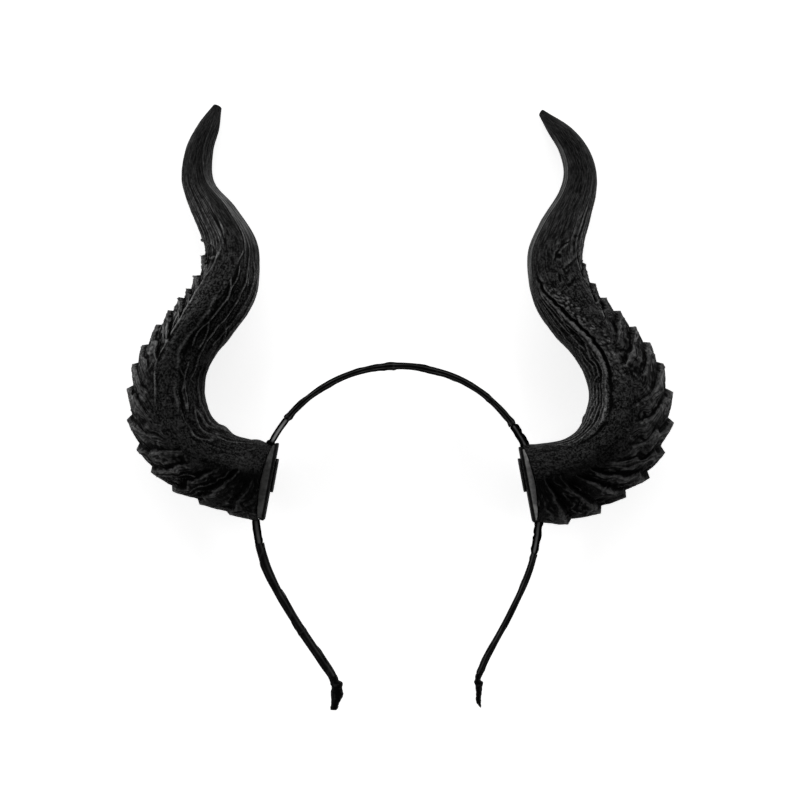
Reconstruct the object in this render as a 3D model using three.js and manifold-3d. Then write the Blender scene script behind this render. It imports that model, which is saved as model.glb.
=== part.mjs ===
// A costume headband: a springy strip, wound with ribbon, that carries two carved foam horns.
// It lies on its back. Millimetres: X runs across the head, Y up towards the crown, Z towards the front.
// Left and right are as seen from the front. The drawing's centre is the centre of the crown's arc.
import * as THREE from "three";
import { mergeVertices } from "three/addons/utils/BufferGeometryUtils.js";
import Module from "manifold-3d";

const wasm = await Module();
wasm.setup();

// Strip
const crownRadius = 65.4;
const crownEndDeg = 6.4; // the arc runs this far below the centre on both sides
const crownStepDeg = 12;
const stripWide = 5;
const stripThick = 2;
const stripChamfer = 0.5;
const stripStep = 5.5;

// Each leg below the arc, from the arc to the end of its ribbon, as [x, y]
const legs = {
  left: [[-61, -25.5], [-50, -47.5], [-35, -70], [-29.6, -78.5], [-28.6, -85], [-29, -92.5]],
  right: [[61.5, -25.5], [52, -47.5], [40, -70], [37, -78.5], [37.4, -85], [37.8, -91.5]],
};

// Ribbon
const ribbonGap = 0.2;
const ribbonLap = 0.16; // how far the last part of a turn stands above the first
const ribbonSlant = 2.6; // lead of the front edge of a turn over its middle

// Where each wound stretch begins and ends, measured along the strip from the left end. An end that meets a
// folded end is cut square, and the other ends slant.
const windings = [
  { name: "left_leg_wrap", from: 15.3, to: 81.5, turns: 5, wall: 0.5, squareStart: true },
  { name: "crown_wrap", from: 149.5, to: 266.5, turns: 9, wall: 0.3 },
  { name: "right_leg_wrap", from: 328.5, to: 389.5, turns: 4, wall: 0.3, squareEnd: true },
];

// Folded ribbon at the ends: sizes across and deep, and the shift towards the head, along from the fold's start
const endFolds = {
  left: [
    { along: 0, across: 3.9, deep: 7.2, shift: 0 },
    { along: 1.4, across: 3.8, deep: 7.2, shift: 0 },
    { along: 2.4, across: 5.1, deep: 7.8, shift: 0.7 },
    { along: 7, across: 5.2, deep: 7.8, shift: 0.7 },
    { along: 10.5, across: 4.2, deep: 7, shift: 0.3 },
    { along: 13, across: 3.2, deep: 6.2, shift: -0.1 },
    { along: 14.7, across: 2, deep: 5.4, shift: -0.7 },
  ],
  right: [
    { along: 0, across: 3.6, deep: 7, shift: 0 },
    { along: 2.6, across: 3.9, deep: 7.2, shift: 0.1 },
    { along: 4.5, across: 3.6, deep: 7, shift: 0 },
    { along: 7, across: 2.6, deep: 6.2, shift: 0.1 },
    { along: 11, across: 2, deep: 5.2, shift: 0.3 },
    { along: 14.7, across: 0.6, deep: 3, shift: -0.4 },
  ],
};
const endFoldStart = 15; // distance from the ribbon's end to where the fold starts
const stripEndInset = { left: 8.5, right: 11.5 }; // from the ribbon's end to the strip's own end

// Pad that closes each horn's mouth, flat on the head side and round on the horn side, and the patch on it
const padAngleDeg = 10.5; // up from the level of the arc's centre
const padInside = 59.2; // distance of the flat side from the arc's centre
const padRadius = 64; // of the round side, about the arc's centre
const padLong = 32;
const padDeep = 27;
const padCorner = 8;
const padBevel = 0.6;
const patchLong = 15.6;
const patchDeep = 12;
const patchThick = 1.2;
const patchCorner = 3;
const patchRise = 4.5; // the patch's middle above the pad's middle
const glueGap = 0.3;

// Horn
const baseHalf = 17.5; // half of the mouth, along the pad
const baseOutside = 61.2; // distance of the mouth's corners from the arc's centre
const depthShare = 0.94; // front to back size over the size seen from the front
const restDepth = 37; // depth whose back lies on the floor; thinner parts lean back to it
const lipShare = 0.12; // part of a row in which a scale's lip drops to the next root
const rampShare = 0.55;
const scaleSweep = 0.9; // rows by which a scale trails where it meets the smooth strip
const stripRise = 0.9;
const grooveHalfDeg = 9;
const fluteDepth = 0.4; // of the long flutes on the smooth end, at every second angle

// One row for each scale, then for each smooth stretch, from the mouth to the tip. outer and inner are the two
// edges seen from the front. outer is a scale's lip, which stands tooth above the root of the next scale.
// strip says where the smooth strip lies round the horn, in degrees from the outer edge, on some of the rows.
const horns = {
  left: {
    side: -1,
    groove: 0.8,
    roll: 0,
    strip: [
      { row: 0, from: 107, to: 147 },
      { row: 3, from: 92, to: 128 },
      { row: 6, from: 76, to: 111 },
      { row: 9, from: 63, to: 99 },
      { row: 12, from: 46, to: 93 },
      { row: 14, from: 46, to: 94 },
      { row: 16, from: 74, to: 109 },
      { row: 21, from: 85, to: 125 },
    ],
    rows: [
      { outer: [-77, -2.5], inner: [-67.5, 31], tooth: 1.3 },
      { outer: [-91, 2.5], inner: [-74.5, 34], tooth: 1.7 },
      { outer: [-103.5, 8.5], inner: [-80.5, 38], tooth: 1.9 },
      { outer: [-113, 17], inner: [-85, 42], tooth: 2.1 },
      { outer: [-119.5, 27.5], inner: [-87.5, 46.5], tooth: 2.3 },
      { outer: [-124, 41], inner: [-89, 51.5], tooth: 2.2 },
      { outer: [-124, 55], inner: [-89, 56.5], tooth: 2.2 },
      { outer: [-121.5, 66], inner: [-88.5, 61], tooth: 1.8 },
      { outer: [-117, 74.5], inner: [-87, 65.5], tooth: 1.8 },
      { outer: [-110.5, 84], inner: [-83, 72], tooth: 1.8 },
      { outer: [-105, 90.5], inner: [-78.5, 77.5], tooth: 1.5 },
      { outer: [-100, 96.5], inner: [-73.5, 84], tooth: 1.5 },
      { outer: [-96.5, 100.5], inner: [-69.5, 89.5], tooth: 1.3 },
      { outer: [-92.5, 106.5], inner: [-65.5, 98], tooth: 1.6 },
      { outer: [-89.5, 116], inner: [-64, 109.5], tooth: 0.8 },
      { outer: [-90, 124], inner: [-65.5, 122.5], tooth: 0 },
      { outer: [-95, 137], inner: [-75.5, 138.5], tooth: 0 },
      { outer: [-99, 152], inner: [-85.5, 151], tooth: 0 },
      { outer: [-97.5, 166], inner: [-85.5, 164.5], tooth: 0 },
      { outer: [-91, 177.5], inner: [-82, 175.5], tooth: 0 },
      { outer: [-84.5, 185], inner: [-81.5, 183.5], tooth: 0 },
    ],
  },
  right: {
    side: 1,
    groove: 1.6,
    roll: 0.8,
    strip: [
      { row: 0, from: 111, to: 142 },
      { row: 3, from: 100, to: 131 },
      { row: 6.5, from: 89, to: 121 },
      { row: 9, from: 77, to: 112 },
      { row: 12, from: 56, to: 124 },
      { row: 14, from: 48, to: 138 },
      { row: 16, from: 70, to: 143 },
      { row: 21, from: 85, to: 143 },
    ],
    rows: [
      { outer: [79, -5], inner: [70.5, 31], tooth: 1.6 },
      { outer: [93, -1], inner: [77, 32.5], tooth: 2.2 },
      { outer: [104.5, 6.5], inner: [82, 35.5], tooth: 2.6 },
      { outer: [115, 15], inner: [85, 40], tooth: 2.8 },
      { outer: [122.5, 26], inner: [87, 45], tooth: 3.0 },
      { outer: [126.5, 39.5], inner: [88.5, 50], tooth: 2.8 },
      { outer: [126, 53.5], inner: [88.5, 54.5], tooth: 2.6 },
      { outer: [121.5, 66], inner: [87, 59.5], tooth: 2.2 },
      { outer: [115, 75.5], inner: [84, 65.5], tooth: 2.0 },
      { outer: [109, 82.5], inner: [79, 72], tooth: 1.8 },
      { outer: [101.5, 90], inner: [73, 78.5], tooth: 1.8 },
      { outer: [95, 96], inner: [67.5, 85.5], tooth: 1.6 },
      { outer: [90, 102.5], inner: [63, 93.5], tooth: 1.4 },
      { outer: [85.5, 112], inner: [60.5, 104.5], tooth: 0.8 },
      { outer: [85, 121], inner: [60.5, 119], tooth: 0 },
      { outer: [87.5, 132], inner: [66, 132.5], tooth: 0 },
      { outer: [91, 146.5], inner: [75, 146.5], tooth: 0 },
      { outer: [91, 156], inner: [77, 155], tooth: 0 },
      { outer: [87, 166], inner: [74.5, 164.5], tooth: 0 },
      { outer: [79, 175], inner: [69, 173.5], tooth: 0 },
      { outer: [67.5, 182.5], inner: [66, 180], tooth: 0 },
    ],
  },
};

const materials = {
  horn: new THREE.MeshStandardMaterial({ color: 0x161616, roughness: 0.55, metalness: 0 }),
  strip: new THREE.MeshStandardMaterial({ color: 0x3a3a3a, roughness: 0.3, metalness: 0.4 }),
  ribbon: new THREE.MeshStandardMaterial({ color: 0x1a1a1a, roughness: 0.7, metalness: 0 }),
  pad: new THREE.MeshStandardMaterial({ color: 0x3e3e3c, roughness: 0.8, metalness: 0 }),
  patch: new THREE.MeshStandardMaterial({ color: 0x2b2b2b, roughness: 0.85, metalness: 0 }),
};

const radians = THREE.MathUtils.degToRad;
const { smoothstep, lerp } = THREE.MathUtils;

// A hump one high between two ends
function hump(value, from, to) {
  const share = THREE.MathUtils.clamp((value - from) / (to - from), 0, 1);
  return Math.sin(Math.PI * share);
}

// A closed solid through rings that have the same number of points
function loft(rings) {
  const count = rings[0].length;
  const middles = [rings[0], rings.at(-1)].map((ring) =>
    ring.reduce((sum, point) => sum.add(point), new THREE.Vector3()).divideScalar(count),
  );
  const points = [...rings.flat(), ...middles];
  const [startMiddle, endMiddle] = [points.length - 2, points.length - 1];
  const faces = [];
  for (let j = 0; j < count; j += 1) {
    const k = (j + 1) % count;
    for (let i = 0; i + 1 < rings.length; i += 1) {
      const [a, b] = [i * count + j, i * count + k];
      const [c, d] = [a + count, b + count];
      faces.push([a, b, d], [a, d, c]);
    }
    const last = (rings.length - 1) * count;
    faces.push([startMiddle, k, j], [endMiddle, last + j, last + k]);
  }
  const volume = faces.reduce((sum, [a, b, c]) => {
    const crossed = points[b].clone().cross(points[c]);
    return sum + points[a].dot(crossed);
  }, 0);
  const outward = volume > 0 ? faces : faces.map(([a, b, c]) => [a, c, b]);
  return new THREE.BufferGeometry().setFromPoints(points).setIndex(outward.flat());
}

function toSolid(geometry) {
  const bare = geometry.clone();
  bare.deleteAttribute("normal");
  bare.deleteAttribute("uv");
  const merged = mergeVertices(bare, 1e-4);
  const mesh = new wasm.Mesh({
    numProp: 3,
    vertProperties: merged.attributes.position.array,
    triVerts: new Uint32Array(merged.index.array),
  });
  return new wasm.Manifold(mesh);
}

function toGeometry(solid) {
  const { vertProperties, triVerts } = solid.getMesh();
  return new THREE.BufferGeometry()
    .setAttribute("position", new THREE.BufferAttribute(vertProperties, 3))
    .setIndex(new THREE.BufferAttribute(triVerts, 1));
}

function cut(geometry, ...tools) {
  return toGeometry(tools.reduce((solid, tool) => solid.subtract(toSolid(tool)), toSolid(geometry)));
}

// A drum about the arc's centre
function drum(radius) {
  return new THREE.CylinderGeometry(radius, radius, 2 * padDeep, 120).rotateX(Math.PI / 2);
}

// The strip's line, from the left leg's end over the crown to the right leg's end
function stripRoute() {
  const arc = [];
  const sweepDeg = 180 + 2 * crownEndDeg;
  const steps = Math.round(sweepDeg / crownStepDeg);
  for (let i = 0; i <= steps; i += 1) {
    const angle = radians(180 + crownEndDeg - (sweepDeg * i) / steps);
    arc.push([crownRadius * Math.cos(angle), crownRadius * Math.sin(angle)]);
  }
  const points = [...legs.left.toReversed(), ...arc, ...legs.right];
  const curve = new THREE.CatmullRomCurve3(points.map(([x, y]) => new THREE.Vector3(x, y, 0)));
  curve.arcLengthDivisions = 1200;
  return curve;
}

const route = stripRoute();
const routeLength = route.getLength();

// The eight corners of a chamfered strip, as [across, deep]
function stripOutline(across, deep, chamfer) {
  const [a, d] = [across / 2, deep / 2];
  const quarter = [[a, d - chamfer], [a - chamfer, d]];
  const upper = [...quarter, ...quarter.toReversed().map(([x, y]) => [-x, y])];
  return [...upper, ...upper.toReversed().map(([x, y]) => [x, -y])];
}

// An outline set across the strip's line. slant moves its front edge along the line.
function ringOnRoute(along, outline, slant = 0, shift = 0) {
  const deepest = Math.max(...outline.map(([, deep]) => deep));
  return outline.map(([across, deep]) => {
    const share = THREE.MathUtils.clamp((along + (slant * deep) / deepest) / routeLength, 0, 1);
    const tangent = route.getTangentAt(share);
    const normal = new THREE.Vector3(-tangent.y, tangent.x, 0);
    return route.getPointAt(share).addScaledVector(normal, across + shift).add(new THREE.Vector3(0, 0, deep));
  });
}

function spaced(from, to, step) {
  const count = Math.ceil((to - from) / step);
  return Array.from({ length: count + 1 }, (_, i) => lerp(from, to, i / count));
}

// The strip, extruded along its line
function stripGeometry() {
  const ends = [stripEndInset.left, routeLength - stripEndInset.right];
  const points = spaced(...ends, stripStep).map((along) => route.getPointAt(along / routeLength));
  const path = new THREE.CatmullRomCurve3(points);
  const outline = stripOutline(stripThick, stripWide, stripChamfer);
  const shape = new THREE.Shape(outline.map(([across, deep]) => new THREE.Vector2(deep, across)));
  return new THREE.ExtrudeGeometry(shape, {
    steps: points.length - 1,
    extrudePath: path,
    bevelEnabled: false,
  });
}

// Room for the strip inside the ribbon or through a horn's mouth
function stripRoom(from, to, gap) {
  const outline = stripOutline(stripThick + 2 * gap, stripWide + 2 * gap, stripChamfer);
  return loft(spaced(from, to, stripStep).map((along) => ringOnRoute(along, outline)));
}

function ribbonOutline(wall) {
  const grown = 2 * (ribbonGap + wall);
  return stripOutline(stripThick + grown, stripWide + grown, stripChamfer + wall);
}

// Ribbon wound round the strip: each turn thickens to its lap, then drops to the next turn
function windingGeometry({ from, to, turns, wall, squareStart, squareEnd }) {
  const pitch = (to - from) / turns;
  const thin = ribbonOutline(wall);
  const lapped = ribbonOutline(wall + ribbonLap);
  const rings = [];
  for (let turn = 0; turn < turns; turn += 1) {
    const start = from + turn * pitch;
    const square = squareStart && turn === 0;
    rings.push(ringOnRoute(start, thin, square ? 0 : ribbonSlant));
    const lapShare = squareEnd && turn === turns - 1 ? 0.6 : 0.88;
    rings.push(ringOnRoute(start + lapShare * pitch, lapped, ribbonSlant));
  }
  rings.push(ringOnRoute(to, thin, squareEnd ? 0 : ribbonSlant));
  const past = 2 * ribbonSlant;
  return cut(loft(rings), stripRoom(from - past, to + past, ribbonGap));
}

// The ribbon's folded end, with a socket for the strip's end
function endFoldGeometry(name) {
  const [sign, end] = name === "left" ? [-1, 0] : [1, routeLength];
  const start = end - sign * endFoldStart;
  const rings = endFolds[name].map(({ along, across, deep, shift }) => {
    const outline = stripOutline(across, deep, across * 0.3);
    return ringOnRoute(start + sign * along, outline, 0, -shift);
  });
  const stripEnd = end - sign * stripEndInset[name];
  const socket = [start - sign, stripEnd + sign * glueGap].sort((a, b) => a - b);
  return cut(loft(rings), stripRoom(...socket, 2 * ribbonGap));
}

function roundedRectangle(long, deep, corner) {
  const [x, y] = [long / 2, deep / 2];
  const shape = new THREE.Shape();
  shape.moveTo(-x + corner, -y);
  shape.lineTo(x - corner, -y);
  shape.absarc(x - corner, -y + corner, corner, -Math.PI / 2, 0, false);
  shape.lineTo(x, y - corner);
  shape.absarc(x - corner, y - corner, corner, 0, Math.PI / 2, false);
  shape.lineTo(-x + corner, y);
  shape.absarc(-x + corner, y - corner, corner, Math.PI / 2, Math.PI, false);
  shape.lineTo(-x, -y + corner);
  shape.absarc(-x + corner, -y + corner, corner, Math.PI, 1.5 * Math.PI, false);
  return shape;
}

// A plate with softened edges whose flat face is thick above its own origin
function plateGeometry(long, deep, thick, corner, bevel) {
  const shape = roundedRectangle(long - 2 * bevel, deep - 2 * bevel, corner - bevel);
  const geometry = new THREE.ExtrudeGeometry(shape, {
    depth: thick - 2 * bevel,
    curveSegments: 4,
    bevelThickness: bevel,
    bevelSize: bevel,
    bevelSegments: 1,
  });
  return geometry.translate(0, 0, bevel);
}

// The frame of one mouth: out points away from the head, up along the pad
function mouthFrame(side) {
  const angle = radians(padAngleDeg);
  const out = new THREE.Vector3(side * Math.cos(angle), Math.sin(angle), 0);
  const up = new THREE.Vector3(-side * Math.sin(angle), Math.cos(angle), 0);
  return { out, up };
}

// Sets a plate on the mouth, from near outwards from the arc's centre
function placeOnMouth(geometry, side, near, rise) {
  const { out, up } = mouthFrame(side);
  const third = new THREE.Vector3().crossVectors(out, up);
  const place = out.clone().multiplyScalar(near).addScaledVector(up, rise);
  return geometry.applyMatrix4(new THREE.Matrix4().makeBasis(up, third, out).setPosition(place));
}

// The pad: a plate trimmed to the round side
function padGeometry(side) {
  const plate = plateGeometry(padLong, padDeep, padRadius - padInside + 2 * padBevel, padCorner, padBevel);
  placeOnMouth(plate, side, padInside, 0);
  return toGeometry(toSolid(plate).intersect(toSolid(drum(padRadius))));
}

function patchGeometry(side) {
  const plate = plateGeometry(patchLong, patchDeep, patchThick, patchCorner, patchThick / 4);
  return placeOnMouth(plate, side, padInside - glueGap - patchThick, patchRise);
}

// Angles round half of a ring from the outer edge: over the scales, the smooth strip, the groove, the inner side
function ringDegs([stripFrom, stripTo]) {
  const span = (from, to, count) => Array.from({ length: count }, (_, i) => lerp(from, to, i / count));
  return [
    ...span(0, stripFrom, 6),
    ...span(stripFrom, stripTo - grooveHalfDeg, 3),
    ...span(stripTo - grooveHalfDeg, stripTo + grooveHalfDeg, 2),
    ...span(stripTo + grooveHalfDeg, 180, 4),
    180,
  ];
}

// A horn's skin as rings, each given by its row
function hornSkin({ side, groove, roll, strip, rows }) {
  const { out, up } = mouthFrame(side);
  const mouth = out.clone().multiplyScalar(baseOutside);
  const mouthRow = {
    outer: mouth.clone().addScaledVector(up, -baseHalf).toArray(),
    inner: mouth.clone().addScaledVector(up, baseHalf).toArray(),
    tooth: 0,
  };
  const all = [mouthRow, ...rows];
  const last = all.length - 1;
  const edge = (key) => new THREE.CatmullRomCurve3(all.map(({ [key]: [x, y] }) => new THREE.Vector3(x, y, 0)));
  const [outer, inner] = [edge("outer"), edge("inner")];
  const scaleCount = all.findLastIndex((row) => row.tooth > 0);
  const depthAt = (t) => depthShare * outer.getPoint(t / last).distanceTo(inner.getPoint(t / last));
  const stripRows = strip.map(({ row }) => row);
  const stripEdges = strip.flatMap(({ from, to }) => [from, to]);
  const stripSpan = new THREE.CubicInterpolant(stripRows, stripEdges, 2, new Float32Array(2));

  function drop(t) {
    const row = Math.min(last, Math.floor(t));
    const share = t - row;
    const fall = share < lipShare ? share / lipShare : (1 - share) / (1 - lipShare);
    return all[row].tooth * fall;
  }

  function relief(t, degrees, [stripFrom, stripTo]) {
    const reach = degrees / stripFrom;
    const scales = drop(t) * (1 - 0.5 * reach) * (1 - smoothstep(reach, 0.8, 1));
    const carved = smoothstep(t, 0, 2) * (1 - smoothstep(t, scaleCount - 2, scaleCount + 2));
    const raised = stripRise * hump(degrees, stripFrom, stripTo) + roll * hump(degrees, stripTo, 180);
    const furrow = groove * hump(degrees, stripTo - grooveHalfDeg, stripTo + grooveHalfDeg);
    return carved * (raised - furrow) - scales;
  }

  // How far a ring trails at the smooth strip, in rows
  function sweepAt(t) {
    return scaleSweep * smoothstep(t, 0, 3) * (1 - smoothstep(t, scaleCount, scaleCount + 4));
  }

  function pointAt(t, { degrees, trail, raised }) {
    const place = t - trail;
    const [from, to] = [inner.getPoint(place / last), outer.getPoint(place / last)];
    const across = to.clone().sub(from).multiplyScalar(0.5);
    const half = across.length();
    const lean = ((depthAt(place) - restDepth) / 2) * smoothstep(place, 0, 4);
    const angle = radians(degrees);
    const point = from.add(to).multiplyScalar(0.5);
    point.addScaledVector(across.normalize(), (half + raised) * Math.cos(angle));
    return point.setZ(lean + (depthShare * half + raised) * Math.sin(angle));
  }

  // A ring trails towards the smooth strip, so that it follows the scales' lips. The back is like the front.
  function ringAt(t) {
    const span = [...stripSpan.evaluate(t - sweepAt(t))];
    const fluted = smoothstep(t, scaleCount - 1, scaleCount + 1) * (1 - smoothstep(t, last - 1.5, last));
    const front = ringDegs(span).map((degrees, i) => {
      const bent = (1 - Math.cos(radians(Math.min(degrees, span[0])))) / (1 - Math.cos(radians(span[0])));
      const raised = relief(t, degrees, span) - (i % 2) * fluteDepth * fluted;
      return { degrees, trail: sweepAt(t) * bent, raised };
    });
    const back = front.slice(1, -1).toReversed().map((spot) => ({ ...spot, degrees: -spot.degrees }));
    return [...front, ...back].map((spot) => pointAt(t, spot));
  }

  return { ringAt, last, scaleCount };
}

// The horn, its mouth trimmed round to the pad, with a groove across it for the strip
function hornGeometry(horn) {
  const { ringAt, last, scaleCount } = hornSkin(horn);
  const places = [0, 0.5];
  for (let row = 1; row < last; row += 1) {
    places.push(...(row <= scaleCount ? [row, row + lipShare, row + rampShare] : [row, row + 0.5]));
  }
  places.push(last);
  const skin = loft(places.map(ringAt));
  const mouthAlong = routeLength / 2 + horn.side * crownRadius * radians(90 - padAngleDeg);
  const room = stripRoom(mouthAlong - 1.5 * baseHalf, mouthAlong + 1.5 * baseHalf, glueGap);
  return cut(skin, drum(padRadius + glueGap), room);
}

// The pieces, in the drawing's frame
const drawing = new THREE.Group();

function addPiece(name, geometry, material) {
  const mesh = new THREE.Mesh(geometry, material);
  mesh.name = name;
  drawing.add(mesh);
}

addPiece("strip", stripGeometry(), materials.strip);
for (const winding of windings) {
  addPiece(winding.name, windingGeometry(winding), materials.ribbon);
}
for (const [name, horn] of Object.entries(horns)) {
  addPiece(`${name}_end_fold`, endFoldGeometry(name), materials.ribbon);
  addPiece(`${name}_horn`, hornGeometry(horn), materials.horn);
  addPiece(`${name}_pad`, padGeometry(horn.side), materials.pad);
  addPiece(`${name}_patch`, patchGeometry(horn.side), materials.patch);
}

// The part stands on the bottom of its box, over the box's middle
const box = new THREE.Box3().setFromObject(drawing, true);
const middle = box.getCenter(new THREE.Vector3());
drawing.position.set(-middle.x, -middle.y, -box.min.z);

const headband = new THREE.Group();
headband.add(drawing);

export default headband;
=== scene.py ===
import math
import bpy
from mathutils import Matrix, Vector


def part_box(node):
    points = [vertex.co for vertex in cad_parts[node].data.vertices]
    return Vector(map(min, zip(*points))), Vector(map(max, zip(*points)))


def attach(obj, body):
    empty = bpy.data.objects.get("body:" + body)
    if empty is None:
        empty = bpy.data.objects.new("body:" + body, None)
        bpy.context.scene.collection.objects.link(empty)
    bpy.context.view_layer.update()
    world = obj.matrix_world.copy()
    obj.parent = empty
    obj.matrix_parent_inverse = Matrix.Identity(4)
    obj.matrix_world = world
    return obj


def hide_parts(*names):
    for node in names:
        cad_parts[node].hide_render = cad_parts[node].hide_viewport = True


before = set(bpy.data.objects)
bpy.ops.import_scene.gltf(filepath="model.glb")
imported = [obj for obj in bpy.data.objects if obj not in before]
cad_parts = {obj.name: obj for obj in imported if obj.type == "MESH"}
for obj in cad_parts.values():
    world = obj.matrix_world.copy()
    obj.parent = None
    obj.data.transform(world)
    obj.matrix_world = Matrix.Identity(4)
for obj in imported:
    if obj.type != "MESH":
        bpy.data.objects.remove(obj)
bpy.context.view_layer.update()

from types import SimpleNamespace
import bmesh
import bpy
import numpy as np
from mathutils import Matrix, Vector

# A costume headband with two scaly horns. Forms are drawn in millimetres about the centre of the crown's arc,
# X to the photo's right, Y up and Z towards the camera, then set in the frame's metres.
perMetre = 1000
crown = {"radius": 65.4, "endDeg": 6.4, "stepDeg": 12}
legs = {
    "left": [(-61, -25.5), (-50, -47.5), (-35, -70), (-29.6, -78.5), (-28.6, -85), (-29, -92.5)],
    "right": [(61.5, -25.5), (52, -47.5), (40, -70), (37, -78.5), (37.4, -85), (37.8, -91.5)],
}
strip = {"wide": 5.0, "thick": 2.0}
mouth = {"angleDeg": 10.5, "padRadius": 64.0, "glueGap": 0.3}

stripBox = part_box("strip")
padBoxes = [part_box("left_pad"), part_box("right_pad")]
centre = np.array([
    perMetre * (padBoxes[0][0].x + padBoxes[1][1].x) / 2,
    perMetre * stripBox[1].y - crown["radius"] - strip["thick"] / 2,
    perMetre * (stripBox[0].z + stripBox[1].z) / 2,
])


# A soft step from 0 to 1
def ease(value, start, end):
    share = np.clip((value - start) / (end - start), 0, 1)
    return share * share * (3 - 2 * share)


# A soft step up to 1 and another back to 0
def within(value, rise, full, fall, end):
    return ease(value, rise, full) * (1 - ease(value, fall, end))


def bell(value, half):
    return np.exp(-((value / half) ** 2))


# The same scattered value between 0 and 1 for the same place and seed
def scatter(i, j, seed):
    value = np.sin(i * 12.9898 + j * 78.233 + seed * 37.719) * 43758.5453
    return value - np.floor(value)


# Smooth lumps between -1 and 1
def lumps(a, b, seed):
    i, j = np.floor(a), np.floor(b)
    x, y = ease(a - i, 0, 1), ease(b - j, 0, 1)
    low = scatter(i, j, seed) * (1 - x) + scatter(i + 1, j, seed) * x
    high = scatter(i, j + 1, seed) * (1 - x) + scatter(i + 1, j + 1, seed) * x
    return 2 * (low * (1 - y) + high * y) - 1


# Lumps along one line
def sway(a, seed):
    return lumps(a, 0 * a, seed)


# A field of scattered cells, as the distance from the nearest middle
def cells(a, b, seed):
    i, j = np.floor(a), np.floor(b)
    nearest = np.full_like(a, np.inf)
    for di in (-1, 0, 1):
        for dj in (-1, 0, 1):
            x = i + di + 0.5 + 0.8 * (scatter(i + di, j + dj, seed) - 0.5)
            y = j + dj + 0.5 + 0.8 * (scatter(i + di, j + dj, seed + 5) - 0.5)
            nearest = np.minimum(nearest, np.hypot(a - x, b - y))
    return nearest


# Thin lines wherever a value passes a whole number, as wide as half
def lines(value, half):
    return bell(value - np.rint(value), half)


# A smooth curve through points, one unit of place to a point
def curveThrough(points, place):
    given = np.array(points, float)
    p = np.vstack([2 * given[0] - given[1], given, 2 * given[-1] - given[-2]])
    i = np.clip(np.floor(place), 0, len(given) - 2).astype(int)
    w = (place - i)[..., None]
    p0, p1, p2, p3 = p[i], p[i + 1], p[i + 2], p[i + 3]
    pairs = ((p0, p1), (p1, p2), (p2, p3))
    d0, d1, d2 = (np.sqrt(np.linalg.norm(b - a, axis=-1))[..., None] for a, b in pairs)
    m1 = ((p1 - p0) / d0 - (p2 - p0) / (d0 + d1) + (p2 - p1) / d1) * d1
    m2 = ((p2 - p1) / d1 - (p3 - p1) / (d1 + d2) + (p3 - p2) / d2) * d1
    return p1 + m1 * w + (3 * (p2 - p1) - 2 * m1 - m2) * w**2 + (2 * (p1 - p2) + m1 + m2) * w**3


# A smooth value through a table of places and values
def tableAt(place, table, column):
    places = np.array([row[0] for row in table], float)
    values = np.array([row[column] for row in table], float)
    slopes = np.gradient(values, places)
    at = np.clip(place, places[0], places[-1])
    i = np.clip(np.searchsorted(places, at, side="right") - 1, 0, len(places) - 2)
    step = places[i + 1] - places[i]
    w = (at - places[i]) / step
    rise = values[i + 1] - values[i]
    begin, end = slopes[i] * step, slopes[i + 1] * step
    square, cube = 3 * rise - 2 * begin - end, begin + end - 2 * rise
    return values[i] + begin * w + square * w**2 + cube * w**3


# Rolls a grid up into a tube. shape turns the shares round and the rings into points and named marks.
def rolledPiece(name, node, around, along, shape):
    form = bmesh.new()
    form.loops.layers.uv.new("UVMap")
    bmesh.ops.create_grid(form, x_segments=around, y_segments=along, size=0.5, calc_uvs=True)
    mesh = bpy.data.meshes.new(name)
    form.to_mesh(mesh)
    form.free()
    flat = np.empty(3 * len(mesh.vertices))
    mesh.vertices.foreach_get("co", flat)
    column = np.rint((flat[0::3] + 0.5) * around).astype(int)
    ring = np.rint((flat[1::3] + 0.5) * along).astype(int)
    points, marks = shape((column % around) / around, ring)
    for key, values in marks.items():
        sheet = np.zeros((along + 1, around + 1))
        sheet[ring, column] = values
        marks[key] = sheet
    hollows(marks)
    mesh.vertices.foreach_set("co", ((points + centre) / perMetre).ravel())
    for key, sheet in marks.items():
        mesh.attributes.new(key, "FLOAT", "POINT").data.foreach_set("value", sheet[ring, column])
    form = bmesh.new()
    form.from_mesh(mesh)
    bmesh.ops.remove_doubles(form, verts=form.verts, dist=1e-7)
    bmesh.ops.holes_fill(form, edges=[edge for edge in form.edges if edge.is_boundary], sides=0)
    bmesh.ops.recalc_face_normals(form, faces=form.faces)
    form.to_mesh(mesh)
    form.free()
    mesh.shade_smooth()
    return joinFrame(mesh, name, node)


# The two sizes of ridge and hollow that the materials see: rounds of smoothing, and the height of a full mark
hollowSizes = {"fine": {"rounds": 6, "full": 0.18}, "broad": {"rounds": 70, "full": 0.5}}


# Turns the mark called height into ridge and hollow, by what stands above or lies below its surroundings
def hollows(marks):
    height = marks.pop("height", None)
    if height is None:
        return
    for key, size in hollowSizes.items():
        soft = height
        for _ in range(size["rounds"]):
            inner = soft[:, :-1]
            sides = (np.roll(inner, 1, axis=1) + np.roll(inner, -1, axis=1)) / 4 + inner / 2
            padded = np.vstack([sides[:1], sides, sides[-1:]])
            inner = (padded[:-2] + padded[2:]) / 4 + padded[1:-1] / 2
            soft = np.hstack([inner, inner[:, :1]])
        marks[key] = np.clip((height - soft) / size["full"], -1, 1)


def joinFrame(mesh, name, node):
    piece = bpy.data.objects.new(name, mesh)
    bpy.context.scene.collection.objects.link(piece)
    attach(piece, "root")
    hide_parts(node)
    return piece


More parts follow.
